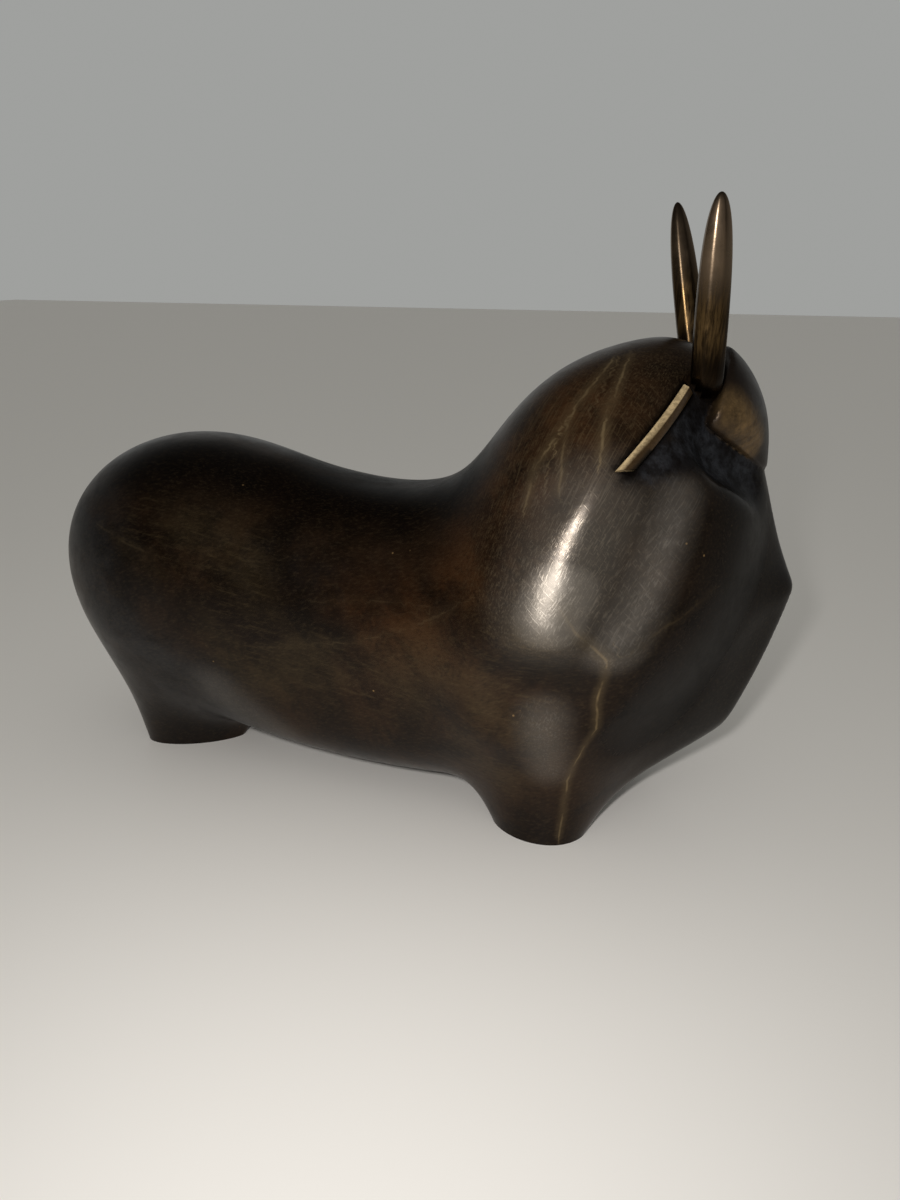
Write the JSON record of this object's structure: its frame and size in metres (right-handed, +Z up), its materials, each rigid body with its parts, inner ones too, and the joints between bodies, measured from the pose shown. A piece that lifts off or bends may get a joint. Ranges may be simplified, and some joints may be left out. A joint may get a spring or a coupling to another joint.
{
  "type": "bronze bull sculpture",
  "caption": "Stylised standing bull in smooth cast bronze with a keeled chest, turned head, laid-back ears and upright horns.",
  "frame": {"origin": "on the ground under the middle of the bull's bounding box", "axes": "+X forward, towards the chest and head; +Y to the bull's left; +Z up"},
  "size_m": [0.3014, 0.132, 0.2216],
  "materials": {
    "bronze": "cast bronze with a smooth, satin, very dark brown patina, rubbed golden on the ears, the horns and a few edges"
  },
  "bodies": {
    "root": {"bull": "bronze"}
  },
  "joints": []
}
